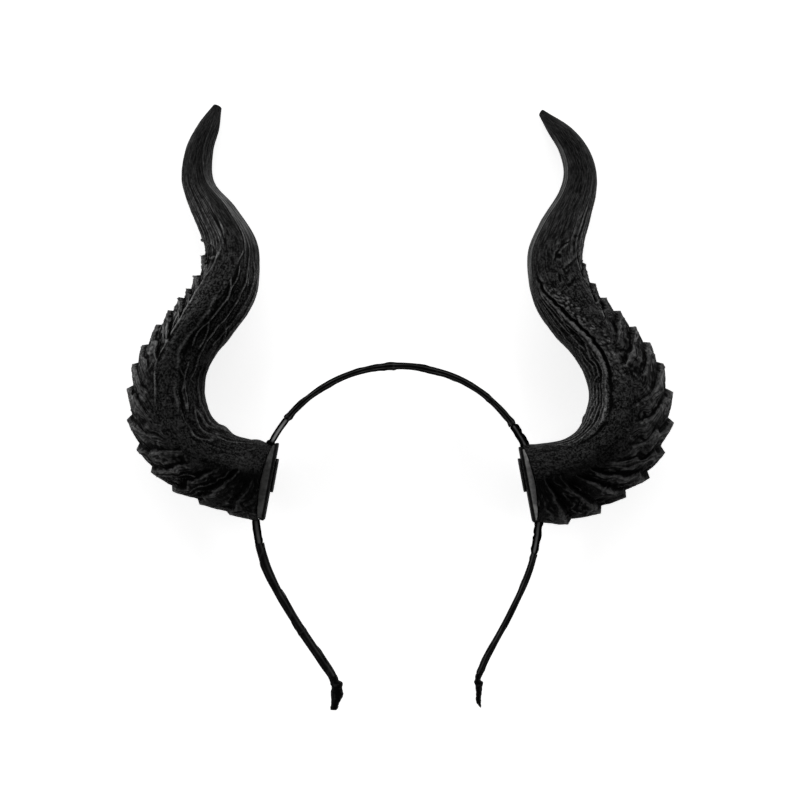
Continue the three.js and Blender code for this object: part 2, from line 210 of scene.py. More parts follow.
# The band's line, from the left leg's end over the crown to the right leg's end
def bandRoute(samples=6001):
    sweepDeg = 180 + 2 * crown["endDeg"]
    steps = round(sweepDeg / crown["stepDeg"])
    turn = np.radians(180 + crown["endDeg"] - sweepDeg * np.arange(steps + 1) / steps)
    arc = crown["radius"] * np.column_stack([np.cos(turn), np.sin(turn)])
    points = [*legs["left"][::-1], *arc.tolist(), *legs["right"]]
    line = curveThrough(points, np.linspace(0, len(points) - 1, samples))
    run = np.concatenate([[0], np.cumsum(np.linalg.norm(np.diff(line, axis=0), axis=1))])
    return line, run


routeLine, routeRun = bandRoute()
routeLength = routeRun[-1]


# Points beside the band's line: out is away from the head, deep towards the front
def besideRoute(along, out, deep):
    x, y = (np.interp(along, routeRun, routeLine[:, k]) for k in (0, 1))
    step = 0.8
    ahead, behind = ([np.interp(along + d, routeRun, routeLine[:, k]) for k in (0, 1)] for d in (step, -step))
    tangent = np.array([ahead[0] - behind[0], ahead[1] - behind[1]])
    tangent /= np.linalg.norm(tangent, axis=0)
    past = np.where(along < 0, along, np.where(along > routeLength, along - routeLength, 0))
    return np.column_stack([
        x - tangent[1] * out + tangent[0] * past,
        y + tangent[0] * out + tangent[1] * past,
        deep,
    ])


# A rounded section: exponent 2 is an ellipse, and more is squarer
def section(share, exponent):
    turn = 2 * math.pi * share
    flat = lambda value: np.sign(value) * np.abs(value) ** (2 / exponent)
    return flat(np.cos(turn)), flat(np.sin(turn))


print("horns")
# steadyHalf: the half width below which fine lines draw no closer. backShift: gives the back other veins.
hornLook = {
    "baseHalf": 17.5, "baseOutside": 61.2, "baseTooth": 0.3, "depthShare": 0.94, "restDepth": 37.0,
    "lipShare": 0.13, "lipSteps": [0, 0.03, 0.07], "frontShare": 0.66, "around": 200, "grown": 0.45,
    "steadyHalf": 13, "backShift": 90, "darkest": 0.15,
    "mouthRings": 16, "scaleRings": 21, "smoothRings": 24, "notchDeep": 2.4, "notchHalf": (2.6, 3.4),
    "mouthCap": [0.05, 0.35, 0.65, 0.85, 0.96], "tipCap": [0.97, 0.88, 0.72, 0.45, 0.08], "tipRound": 0.9,
    "carve": [(0, 1.1), (3, 1.05), (5, 0.7), (6.5, 0.5), (8.5, 0.5), (10.5, 0.8), (13, 1), (21, 1)],
}

# Heights of the carved details that both horns share
carving = {
    "ridge": 0.75, "crest": 0.5, "between": 0.55, "thread": 0.3, "stripRise": 0.5, "wrinkle": 0.5,
    "striation": 0.6, "flatLine": 0.3, "crease": 0.75, "innerFold": 1.3,
}

# Rows over which details come and go
spans = {
    "edgeRidge": (4, 8.5, 16, 17.3), "groove": (7.2, 9.2, 13.2, 14.6), "beads": (2, 4.5, 11, 13.5),
    "wrinkles": (0.4, 1.4, 6.5, 9), "pebbles": (7.2, 8.6, 13, 14.4), "knobs": (13, 13.8, 15.2, 16),
}

# Unevenness as size across, height, height more on the scales, and its own seed
unevenness = [(6.5, 0.22, 0, 12), (2.3, 0.08, 0.08, 13), (1.15, 0.05, 0.09, 16)]

# rows: outer x and y, inner x and y, tooth. strip: row, from and to in degrees from the outer edge.
# sweep: row, rows by which a scale trails at the strip. crease: row, degrees of the edge of the inner flat.
# polish: rows between which the inner flat shines. net: the veins, as rows, count across, spacing and lean of
# the leaning ones, height and stray. folds: row and degrees of both ends of a crease, and its depth.
# toneSpots: row and degrees of a soft spot painted lighter or darker, partly as painted light and shade, its
# half sizes in rows and degrees, and how much lighter it is.
horns = {
    "left": {
        "side": -1, "seed": 3, "groove": 0.45, "roll": 0.0, "shine": 1.0, "facet": 1.15,
        "edgeRidge": 0.68, "innerRidge": 0.6, "pebbles": 0.0, "knobs": 0.0,
        "rows": [
            (-77, -2.8, -67.5, 31.2, 1.4), (-91, 2.2, -74.9, 33.3, 1.9), (-103.5, 8.2, -81, 37.4, 2.1),
            (-113.3, 16.8, -85.4, 41.6, 2.3), (-119.8, 27.3, -87.7, 46.4, 2.5), (-124, 41, -89, 51.5, 2.8),
            (-124, 55, -89, 56.5, 2.7), (-122, 66.3, -88.5, 61, 2.6), (-117.5, 75, -87, 65.5, 2.6),
            (-111, 84.5, -83, 72, 2.6), (-105.5, 91.1, -78.5, 77.5, 2.4), (-100.6, 97.1, -73.5, 84, 2.4),
            (-97.2, 101.1, -69.5, 89.5, 2.3), (-93.4, 107, -65.5, 98, 2.4), (-90.2, 116.3, -64, 109.5, 1.7),
            (-90, 124, -65.2, 122.7, 0), (-95, 137, -75.2, 138.7, 0), (-99.4, 152, -85.3, 151, 0),
            (-97.6, 166, -85.8, 164.6, 0), (-91.5, 178.2, -82.8, 175.9, 0), (-85.4, 186.5, -81.7, 184.8, 0),
        ],
        "strip": [
            (0, 107, 138), (1.5, 99, 124), (3, 92, 112), (5, 84.5, 108.5), (6.5, 78, 108), (8, 72, 104.5),
            (9.5, 65.5, 96), (11, 59.5, 93.5), (13.3, 51, 90), (14.2, 51.5, 92), (15, 63, 100),
            (16.2, 84, 114), (18, 98, 124), (21, 98, 126),
        ],
        "sweep": [
            (0, 0), (1, 0.6), (3, 1.1), (5, 1.35), (7, 1.8), (9, 1.8), (12, 1.3), (15, 0.8), (17, 0.4),
            (19, 0), (21, 0),
        ],
        "crease": [(14.5, 122), (15.5, 122), (16.5, 129), (17.5, 130), (18.5, 114), (19.5, 104), (21, 100)],
        "polish": (16.1, 17, 18, 18.7),
        "net": {"from": 6.8, "to": 16.4, "count": 4.5, "long": 9.0, "lean": 0.4, "high": 1.0, "stray": 0.08},
        "folds": [],
        "toneSpots": [
            (15.6, 85, 2.2, 28, 0.9), (7, 180, 6, 12, -0.6), (12, 25, 3.5, 40, 0.7), (8.2, 25, 2, 38, 0.9),
            (8.6, 160, 2.0, 38, -0.6), (10.3, 90, 2.2, 22, -0.45), (2, 96, 1.8, 16, -0.5),
            (0.2, 80, 0.7, 40, -0.5), (14.8, 165, 1.8, 20, 0.9), (19.5, 15, 1.5, 35, 0.45),
            (18.3, 150, 1.1, 24, 0.9), (20.3, 120, 0.6, 40, 0.5), (11.4, 58, 2.6, 13, 1.6),
            (6.6, 172, 2.2, 26, -0.85), (3, 48, 1.6, 26, 0.5), (0.9, 5, 0.5, 14, 0.8),
            (17.6, 119, 1.1, 7, -0.6), (19, 98, 0.9, 8, -0.5), (18.3, 0, 2.2, 9, 2.2),
        ],
    },
    "right": {
        "side": 1, "seed": 11, "groove": 1.5, "roll": 0.8, "shine": 0.75, "facet": 1.0,
        "edgeRidge": 0.15, "innerRidge": 0.0, "pebbles": 0.6, "knobs": 0.35,
        "rows": [
            (78.4, -6.9, 70.8, 29.6, 2.5), (93.4, -2.0, 77.5, 31.3, 2.9), (105, 5.4, 82.6, 34.8, 2.9),
            (115.7, 14.3, 85.6, 39.5, 2.9), (122.8, 25.8, 87.4, 44.8, 3.0), (126.6, 39.5, 88.6, 50, 3.1),
            (126.2, 53.5, 88.5, 54.5, 3.1), (122.2, 66.5, 87.2, 59.5, 2.7), (115.9, 76.2, 84.4, 65.7, 2.6),
            (109.7, 83.3, 79.8, 72.3, 2.5), (102.3, 90.8, 73.8, 78.8, 2.4), (95.7, 96.8, 68.3, 85.8, 2.2),
            (90.8, 103.3, 63.8, 93.8, 2.0), (86.4, 112.4, 61, 104.5, 1.3), (85.4, 121, 60.8, 119, 0),
            (88, 132, 66.7, 132.6, 0), (91.5, 146.5, 75.4, 146.8, 0), (91.5, 156, 77.3, 155.2, 0),
            (87.7, 166.5, 75.2, 164.9, 0), (79.9, 176, 70, 173.9, 0), (67.7, 184.2, 65.9, 181.4, 0),
        ],
        "strip": [
            (0, 98, 146), (1.5, 96, 143), (3, 92, 135), (5, 92, 123), (7.3, 91, 119), (8.5, 86, 111),
            (9.5, 82, 106), (10.5, 70, 105), (11.6, 52, 107), (12.6, 44, 113), (14, 46, 131), (15, 58, 140),
            (16.5, 72, 141), (21, 85, 140),
        ],
        "sweep": [
            (0, 0), (1, 0.5), (3, 1.3), (5, 1.8), (9, 1.8), (12, 1.3), (14, 0.8), (16, 0.4), (18, 0), (21, 0),
        ],
        "crease": [(13.5, 150), (15, 150), (16.5, 143), (18, 138), (21, 135)],
        "polish": (14, 15.2, 19, 19.8),
        "net": {"from": 0.4, "to": 14.5, "count": 8.5, "long": 4.4, "lean": 0.3, "high": 0.45, "stray": 0.3},
        "folds": [
            (15.2, 62, 14.93, 80, 1.0), (14.93, 80, 14.45, 92, 0.9), (14.6, 20, 14.3, 56, 0.8),
            (14.3, 56, 14.0, 75, 0.9), (14.2, 75, 13.7, 77, 0.6), (15.5, 39, 15.3, 55, 0.5),
            (14.05, 88, 13.5, 92, 0.6), (13.6, 60, 13.2, 84, 0.5),
        ],
        "toneSpots": [
            (15, 100, 4, 40, 0.6), (7, 180, 6, 12, -0.6), (9.5, 110, 3.5, 30, 0.35), (5.3, 150, 1.9, 26, 1.4),
            (10.5, 172, 1.5, 16, -0.4), (2.6, 96, 2.4, 18, -0.75), (4, 10, 2.2, 24, -0.85),
            (4.8, 50, 1.2, 20, -0.3), (3.2, 60, 1.2, 24, 0.3), (18.4, 160, 1.2, 24, 1.2),
            (5.6, 124, 2.0, 12, 0.7), (2.6, 150, 1.8, 15, 0.6), (1.7, 2, 0.5, 14, 1.0),
            (1.2, 100, 1.2, 12, -0.5),
        ],
    },
}


def mouthFrame(side):
    angle = math.radians(mouth["angleDeg"])
    out = np.array([side * math.cos(angle), math.sin(angle), 0])
    up = np.array([-side * math.sin(angle), math.cos(angle), 0])
    return out, up


# The rings of a horn: the row that each lies on, its share of the full section, and which end it closes
def hornRings(scaleCount, last):
    rows = list(np.linspace(0, 1, hornLook["mouthRings"], endpoint=False))
    pastLip = np.linspace(hornLook["lipShare"], 1, hornLook["scaleRings"] - 2)[:-1]
    scaleSteps = np.concatenate([hornLook["lipSteps"], pastLip])
    smoothSteps = np.linspace(0, 1, hornLook["smoothRings"], endpoint=False)
    for row in range(1, last):
        rows += list(row + (scaleSteps if row <= scaleCount else smoothSteps))
    rows.append(last)
    mouthCap, tipCap = hornLook["mouthCap"], hornLook["tipCap"]
    caps = [-1] * len(mouthCap) + [0] * len(rows) + [1] * len(tipCap)
    shares = mouthCap + [1] * len(rows) + tipCap
    rows = [0] * len(mouthCap) + rows + [last] * len(tipCap)
    return np.array(rows, float), np.array(shares), np.array(caps)


# Scales: a step at each lip, and ridges that fan out from its tip
def scaleRelief(horn, at):
    seed, lip = horn["seed"], hornLook["lipShare"]
    wobble = 0.16 * at.bumps(6, 0) + 0.07 * at.bumps(2.2, 3)
    back = np.clip(1 - at.share + wobble * ease(at.reach, 0.04, 0.3), 0, 1.3)
    saw = np.where(at.share < lip, at.share / lip, (1 - at.share) / (1 - lip))
    carve = tableAt(at.t, hornLook["carve"], 1)
    fading = 1 - np.clip(1.7 - 1.4 * carve, 0.25, 0.9) * ease(at.reach, 0.1, 0.85)
    fanned = back / (at.reach + 0.25) + 0.22 * at.bumps(5, 2)
    ridges = bell(lumps(2.5 * fanned, 2.0 * at.reach, seed + 17 * at.row), 0.1)
    threads = bell(lumps(4.8 * fanned, 3.0 * at.reach, seed + 5 + 13 * at.row), 0.28)
    crest = bell(back - 0.04, 0.055)
    ridged = carve * (carving["ridge"] * ridges + carving["crest"] * crest - carving["between"])
    ridged = ridged + carving["thread"] * (threads - 0.5)
    scaly = np.clip(np.where(at.row == 0, 1.2, at.tooth) / 1.6, 0, 1.3) * ease(at.reach, 0.02, 0.2)
    return fading * at.onScales * (scaly * ridged - at.tooth * saw), fanned


# The smooth strip, its two edges and the inner side
def stripRelief(horn, at):
    seed = horn["seed"]
    inStrip = np.clip((at.r - at.edgeA) / (at.edgeB - at.edgeA), 0, 1)
    rolled = bell(at.fromB + 0.2, 1.2) * ease(at.place, 2, 5) * (0.75 + 0.5 * sway(at.run / 9, seed + 5))
    height = carving["stripRise"] * np.sin(math.pi * inStrip) + horn["innerRidge"] * rolled
    height += horn["roll"] * np.sin(math.pi * at.pastStrip)
    height *= within(at.t, 0, 1.5, at.scaleCount - 1.5, at.scaleCount + 2)
    ridged = within(at.place, *spans["edgeRidge"]) * (1 - 0.45 * ease(at.place, 11, 14))
    ridged = ridged * (0.75 + 0.6 * sway(at.run / 5, seed + 26))
    height += horn["edgeRidge"] * bell(at.fromA, 0.52) * ridged
    grooved = bell(at.fromB - 0.7 + 0.5 * sway(at.run / 2.2, seed + 5), 0.75)
    grooved = grooved * within(at.place, *spans["groove"]) * (0.8 + 0.45 * sway(at.run / 3.1, seed + 24))
    beaded = bell(at.fromB - 2.4, 1.9 - 0.9 * ease(at.place, 7, 9.5)) * within(at.place, *spans["beads"])
    return height - horn["groove"] * grooved + horn["roll"] * beaded


# Veins: lines along the horn, crossed by leaning ones and broken here and there, other ones on the back
def veinRelief(horn, at):
    seed, net = horn["seed"], horn["net"]
    veined = at.run + hornLook["backShift"] * (at.phi > 180)
    bowed = 0.6 * lumps(veined / 17, at.fromB / 9, seed + 6)
    bowed = bowed + net["stray"] * lumps(veined / 4.5, at.fromB / 4, seed + 25)
    spacing = np.maximum(180 - at.edgeB, 20) * at.girth / net["count"]
    lengthwise = lines(at.pastStrip * net["count"] + bowed + 0.3, 0.32 / spacing)
    leaning = lines((at.fromB + net["lean"] * at.run) / net["long"] - 0.8 * bowed, 0.36 / net["long"])
    broken = ease(lumps(veined / 9, at.fromB / 5, seed + 7), -0.6, -0.2)
    other = ease(lumps(veined / 9, at.fromB / 5, seed + 8), -0.2, 0.2)
    onNet = within(at.place, net["from"], net["from"] + 1.6, net["to"] - 2.2, net["to"])
    onNet = onNet * ease(at.fromB, 0.8, 2.2)
    height = onNet * net["high"] * (np.maximum(broken * lengthwise, other * leaning) - 0.4)
    lined = ease(at.fromB, 0.8, 2) * within(at.place, *spans["wrinkles"]) * (horn["roll"] == 0)
    height += carving["wrinkle"] * lined * (bell(lumps(at.fromB / 2.2, veined / 22, seed + 9), 0.2) - 0.4)
    return height * (1 - ease(at.r, 154, 174))


# Pebbles beside the groove, and knobs where the scales end
def pebbleRelief(horn, at):
    seed = horn["seed"]
    strewn = 0.6 * lumps(at.run / 3, at.fromB / 3, seed + 18)
    nearest = cells(at.fromB / 1.5 + strewn, at.run / 1.9 + strewn, seed + 15)
    beside = ease(at.fromB + 2 * strewn, -6.5, -4) * (1 - ease(at.fromB, -0.9, -0.2))
    beside = beside * within(at.place, *spans["pebbles"]) * (0.6 + strewn)
    pebbles = beside * np.clip(1 - (nearest / 0.6) ** 2, 0, 1)
    knobby = within(at.place, *spans["knobs"]) * bell(at.r - 72, 32)
    knobs = knobby * lumps(at.run / 4, at.around / 2.4 + at.run / 5, seed + 19)
    return horn["pebbles"] * pebbles + horn["knobs"] * knobs


# Long striations where the scales end, and the flat that runs up the inner side of the smooth end
def smoothEndRelief(horn, at):
    seed, flatEnd = horn["seed"], 183
    striated = at.drawn * (bell(lumps(at.around / 1.25, at.run / 38, seed + 10), 0.3) - 0.5)
    crease = tableAt(at.place, horn["crease"], 1)
    flatHalf = (flatEnd - crease) / 2
    aside = at.phi - (flatEnd + crease) / 2
    chord = np.cos(np.radians(flatHalf)) / np.cos(np.radians(np.clip(aside, -80, 80))) - 1
    flatFrom = horn["crease"][0][0]
    flatShare = horn["facet"] * within(at.place, flatFrom, flatFrom + 1.5, at.last - 1.5, at.last)
    lined = bell(lumps(at.around / 1.5, at.run / 22, seed + 23), 0.25) - 0.4
    lined = lined * within(at.phi, crease, crease + 8, 180, 190) - bell((at.phi - crease + 3) * at.girth, 0.4)
    flattened = np.where(np.abs(aside) < flatHalf, at.half * chord, 0) + carving["flatLine"] * lined
    return carving["striation"] * striated + flatShare * flattened


# Short creases that wander and fade at their ends
def foldRelief(horn, at):
    height = 0 * at.run
    shifted, aside = at.run + 1.1 * at.bumps(2.6, 20), at.around + 1.1 * at.bumps(2.6, 21)
    for row0, deg0, row1, deg1, depth in horn["folds"]:
        whole = (at.runAt(row1) - at.runAt(row0), (deg1 - deg0) * at.spread)
        ahead = (shifted - at.runAt(row0), aside - deg0 * at.spread)
        share = (ahead[0] * whole[0] + ahead[1] * whole[1]) / (whole[0] ** 2 + whole[1] ** 2)
        share = np.clip(share, 0, 1)
        off = np.hypot(ahead[0] - share * whole[0], ahead[1] - share * whole[1])
        height -= depth * (0.2 + 0.8 * np.sin(math.pi * share)) * bell(off, 0.55)
    return carving["crease"] * height * (at.phi < 180)


# Hand-carved unevenness, and folds across the inner bend
def unevenRelief(horn, at):
    seed, height = horn["seed"], 0 * at.run
    for size, high, more, own in unevenness:
        height += (high + more * at.onScales) * at.bumps(size, own)
    calm = 1 - 0.7 * ease(at.t, at.scaleCount - 1, at.scaleCount + 1)
    calm = calm * (1 - ease(at.r, 145, 168) * (1 - ease(at.place, 7, 10)))
    nearInner = ease(at.r, 150, 172) * (1 - ease(at.place, 4, 6.5))
    folded = nearInner * np.maximum(lumps(at.run / 8, at.phi * at.girth / 14, seed + 14), 0)
    return calm * height + carving["innerFold"] * folded


# How much lighter or darker than the rest the skin is painted, partly as painted light and shade
def spotTone(horn, at):
    tone = 1 + 0 * at.r
    for atRow, atDeg, rowHalf, degHalf, gain in horn["toneSpots"]:
        tone += gain * bell(at.place - atRow, rowHalf) * bell(at.r - atDeg, degHalf)
    return np.maximum(tone, hornLook["darkest"])


def makeHorn(name, horn):
    out, up = mouthFrame(horn["side"])
    base, baseHalf = out * hornLook["baseOutside"], up * hornLook["baseHalf"]
    first = [*(base - baseHalf)[:2], *(base + baseHalf)[:2], hornLook["baseTooth"]]
    rows = np.array([first, *horn["rows"]], float)
    last = len(rows) - 1
    scaleCount = int(np.nonzero(rows[:, 4])[0][-1])
    seed = horn["seed"]
    middles = (rows[:, :2] + rows[:, 2:4]) / 2
    runs = np.concatenate([[0], np.cumsum(np.linalg.norm(np.diff(middles, axis=0), axis=1))])
    runAt = lambda row: np.interp(row, np.arange(last + 1), runs)
    ringRows, ringShares, ringCaps = hornRings(scaleCount, last)

    # Where the skin's points lie. t is the ring's row, place the row after the sweep and run its millimetres.
    # phi is the degrees round from the outer edge, r the same on front and back and around its millimetres.
    def skinPlaces(t, phi):
        r = np.where(phi > 180, 360 - phi, phi)
        sweep = tableAt(t, horn["sweep"], 1)
        edgeA, edgeB = (tableAt(t - sweep, horn["strip"], column) for column in (1, 2))
        bent = (1 - np.cos(np.radians(np.minimum(r, edgeA)))) / (1 - np.cos(np.radians(edgeA)))
        wander = 0.2 * lumps(1.3 * t, r / 13, seed + 30) * within(r, 4, 24, 0.7 * edgeA, edgeA)
        wander = wander * within(t, 0, 2, scaleCount - 1, scaleCount + 1)
        place = np.clip(t - sweep * bent + wander, 0, last)
        outer, inner = curveThrough(rows[:, :2], place), curveThrough(rows[:, 2:4], place)
        half = np.linalg.norm((outer - inner) / 2, axis=-1)
        row = np.clip(np.floor(t - 0.001), 0, last - 1).astype(int)
        run = runAt(place)
        girth, spread = (np.radians(1) * size for size in (half, np.maximum(half, hornLook["steadyHalf"])))
        around = r * spread
        reach = np.clip(r / edgeA * (1 + 0.14 * lumps(run / 7, around / 9, seed + 1)), 0, 1.3)
        drawn = within(t, scaleCount - 2, scaleCount, scaleCount + 1.5, scaleCount + 4.6)
        drawn = drawn * (1 - ease(r, edgeA - 8, edgeA + 10))
        return SimpleNamespace(
            t=t, phi=phi, r=r, edgeA=edgeA, edgeB=edgeB, place=place, outer=outer, inner=inner, half=half,
            row=row, share=t - row, tooth=rows[row, 4], run=run, girth=girth, spread=spread, around=around,
            reach=reach, onScales=1 - ease(reach, 0.8, 1.04), drawn=drawn,
            fromA=(r - edgeA - 2.2 * sway(run / 6, seed + 2)) * girth,
            fromB=(r - edgeB - 2.0 * sway(run / 7, seed + 4)) * girth,
            pastStrip=np.clip((r - edgeB) / (180 - edgeB), 0, 1),
            bumps=lambda size, own: lumps(run / size, around / size, seed + own),
            last=last, scaleCount=scaleCount, runAt=runAt,
        )

    def skin(t, phi):
        at = skinPlaces(t, phi)
        height, fanned = scaleRelief(horn, at)
        for relief in (stripRelief, veinRelief, pebbleRelief, smoothEndRelief, foldRelief, unevenRelief):
            height = height + relief(horn, at)
        height = height * ease(t, -0.3, 0.7)
        height += hornLook["grown"] * (1 - 0.8 * ease(at.place, last - 1.5, last))
        depth = hornLook["depthShare"] * at.half
        lean = (2 * depth - hornLook["restDepth"]) / 2 * ease(at.place, 0, 4)
        angle = np.radians(phi)
        wide = (at.half + height) * np.cos(angle)
        deep = lean + (depth + height) * np.sin(angle)
        across = (at.outer - at.inner) / 2 / at.half[:, None]
        flat = (at.outer + at.inner) / 2 + across * wide[:, None]
        marks = {
            "height": height, "fan": fanned, "reach": at.reach, "row": at.row, "around": at.around,
            "run": at.run, "drawn": at.drawn, "tone": spotTone(horn, at),
        }
        return np.column_stack([flat, deep]), marks, at

    def shape(u, ring):
        front = hornLook["frontShare"]
        phi = np.where(u < front, 180 * u / front, 180 + 180 * (u - front) / (1 - front))
        t = ringRows[ring]

        # The mouth follows the pad's round side, with a notch where the strip goes in
        gap = mouth["padRadius"] + mouth["glueGap"]
        start = skin(np.zeros_like(t), phi)[0]
        later = skin(np.full_like(t, 0.5), phi)[0]
        notch = hornLook["notchDeep"] * (1 - ease(np.abs(start[:, 2]), *hornLook["notchHalf"]))
        wanted = np.sqrt((gap + notch) ** 2 - (start @ up) ** 2)
        begin = 0.5 * (wanted - start @ out) / ((later - start) @ out)
        t = np.where(t < 1, begin + (1 - begin) * t, t)
        points, marks, at = skin(t, phi)

        # The mouth is closed by a hollow round the pad, and the tip by a small dome
        shares, caps = ringShares[ring], ringCaps[ring]
        rise = shares * (points @ up)
        capped = np.sqrt(np.maximum(gap**2 - rise**2, 0))[:, None] * out + rise[:, None] * up
        capped[:, 2] = shares * points[:, 2]
        points = np.where((caps < 0)[:, None], capped, points)
        tipWide = np.linalg.norm(rows[-1, :2] - rows[-1, 2:4])
        tip = np.append(middles[-1], (hornLook["depthShare"] * tipWide - hornLook["restDepth"]) / 2)
        ahead = np.append(middles[-1] - middles[-2], 0)
        ahead /= np.linalg.norm(ahead)
        domed = hornLook["tipRound"] * np.sqrt(1 - shares**2)
        closing = tip + (points - tip) * shares[:, None] + ahead * domed[:, None]
        points = np.where((caps > 0)[:, None], closing, points)

        # The shaded lower half beside the pad, and how smooth, scaly and polished the skin is
        smooth = ease(t, scaleCount - 1, scaleCount + 3)
        crease = tableAt(t, horn["crease"], 1)
        polished = within(t, *horn["polish"]) * within(phi, crease - 3, crease + 3, 172, 184)
        marks.update({
            "shaded": (1 - ease(t, 1, 6)) * (1 - ease(at.r, at.edgeA - 6, at.edgeA + 5)),
            "smooth": smooth,
            "scaled": (1 - ease(at.r, 0.85 * at.edgeA, 1.02 * at.edgeA)) * (1 - smooth),
            "polished": horn["shine"] * polished,
        })
        return points, marks

    return rolledPiece(f"{name}Horn", f"{name}_horn", hornLook["around"], len(ringRows) - 1, shape)


hornPieces = [makeHorn(name, horn) for name, horn in horns.items()]


print("band")
bareStrip = {
    "from": 8.5, "to": routeLength - 11.5, "fade": 1.5, "seed": 21,
    "around": 40, "step": 0.5, "exponent": 3.0,
    # Where it shows bare: from and to, its swelling, its raggedness, and the brightness and width of the
    # painted highlight down its middle
    "shown": [
        (84.5, 97.5, 0.9, 0.1, 0.3, 0.5), (129.5, 134.5, 1.1, 0.3, 0.0, 0.5),
        (133.5, 147, 0.5, 0.05, 1.0, 0.5), (266, 279, 1.05, 0.4, 1.1, 0.22), (312, 329, 0.85, 0.3, 0.5, 0.4),
    ],
}
stripRings = math.ceil((bareStrip["to"] - bareStrip["from"]) / bareStrip["step"])


def stripShape(u, ring):
    along = bareStrip["from"] + (bareStrip["to"] - bareStrip["from"]) * ring / stripRings
    x, z = section(u, bareStrip["exponent"])
    fade = bareStrip["fade"]
    grown, middleHighlight = 0 * along, 0 * along
    for start, end, swell, ragged, light, wide in bareStrip["shown"]:
        bare = within(along, start, start + fade, end - fade, end)
        grown += bare * (swell + ragged * lumps(along / 1.3, np.sign(x), bareStrip["seed"]))
        # A painted highlight down the middle of the bare stretches
        middleHighlight += bare * light * (1 - ease(np.abs(x + 0.1), wide - 0.3, wide))
    points = besideRoute(along, (strip["thick"] / 2 + grown) * x, (strip["wide"] / 2 + 0.5 * grown) * z)
    return points, {"middle": middleHighlight}


stripPiece = rolledPiece("bareStrip", "strip", bareStrip["around"], stripRings, stripShape)

windingLook = {"around": 56, "step": 0.3, "exponent": 3.4, "gap": 0.2, "markGain": 3}

# Ribbon wound in long turns: where it runs, its wall, a turn's length and place, its lumps as along, out and
# size, its shifts as along, out and reach, and its painted sheen lines as share round, width and strength
windings = {
    "leftLegWrap": {
        "node": "left_leg_wrap", "from": 15.1, "to": 85.5, "wall": 0.9,
        "pitch": 31.0, "lapAt": 50.5, "lap": 0.4, "seed": 31,
        "lumps": [(84, 0.1, 2.5), (78, 0.15, 2.0), (40, 0.25, 1.5)], "shift": [(45, -0.3, 24)],
        "lines": [(0.288, 0.025, 0.5), (0.21, 0.015, 0.25), (0.7, 0.04, 0.5)],
    },
    "archWrap": {
        "node": "crown_wrap", "from": 146.0, "to": 266.5, "wall": 0.34,
        "pitch": 30.0, "lapAt": 193.5, "lap": 0.2, "seed": 32,
        "lumps": [
            (147.5, 0.8, 1.3), (197, 0.4, 4), (202, 0.5, 2), (220, 0.45, 4), (250, 0.4, 1.6),
            (265.2, 0.9, 1.4),
        ],
        "shift": [(172, -0.15, 18), (220, -0.2, 5), (240, 0.3, 22)],
        "lines": [(0.211, 0.009, 1.0), (0.289, 0.009, 1.0), (0.7, 0.02, 0.6), (0.79, 0.02, 0.6)],
    },
    "rightLegWrap": {
        "node": "right_leg_wrap", "from": 328.5, "to": 389.5, "wall": 0.36,
        "pitch": 40.0, "lapAt": 372.0, "lap": 0.12, "seed": 33,
        "lumps": [(329.5, 0.5, 1.0), (387.5, 0.35, 1.2)], "shift": [(345, 0.3, 18), (375, 0.35, 18)],
        "lines": [(0.285, 0.018, 0.9), (0.215, 0.012, 0.3), (0.7, 0.03, 0.8)],
    },
}


def makeWinding(name, wound):
    rings = math.ceil((wound["to"] - wound["from"]) / windingLook["step"])
    seed = wound["seed"]

    def shape(u, ring):
        along = wound["from"] + (wound["to"] - wound["from"]) * ring / rings
        turn = (along - wound["lapAt"]) / wound["pitch"] - u + 0.25
        part = turn - np.floor(turn)
        loose = wound["lap"] * (part - 0.5)
        edge = 0.1 * bell(np.minimum(part, 1 - part) * wound["pitch"], 0.5)
        wrinkles = 0.07 * lumps(along / 1.1 + 6 * u, 10 * u % 10, seed) * np.sin(2 * math.pi * u) ** 2
        slack = 0.12 * sway(along / 7, seed + 1)
        wall = windingLook["gap"] + wound["wall"] + loose + edge + wrinkles + slack
        crumpled = 0.55 + 0.45 * lumps(along / 1.6, 3 * np.abs(u - 0.5), seed + 2)
        for where, size, half in wound["lumps"]:
            wall = wall + size * bell(along - where + 0.7 * np.cos(2 * math.pi * u), half) * crumpled
        x, z = section(u, windingLook["exponent"])
        moved = sum(out * bell(along - where, half) for where, out, half in wound["shift"])
        points = besideRoute(along, (strip["thick"] / 2 + wall) * x + moved, (strip["wide"] / 2 + wall) * z)
        # Painted sheen lines along the ribbon, stronger and weaker in lumps
        lined = 0 * u
        wander = 0.008 * sway(along / 5, seed + 3)
        for share, width, strong in wound["lines"]:
            lined = np.maximum(lined, strong * bell(u - share - wander, width))
        lined = lined * (0.65 + 0.5 * lumps(along / 4, 5 * u, seed + 4))
        return points, {"height": windingLook["markGain"] * wall, "lined": lined}

    return rolledPiece(name, wound["node"], windingLook["around"], rings, shape)


windingPieces = [makeWinding(name, wound) for name, wound in windings.items()]

foldLook = {"around": 40, "step": 0.15, "exponent": 2.8, "start": 15, "markGain": 3}

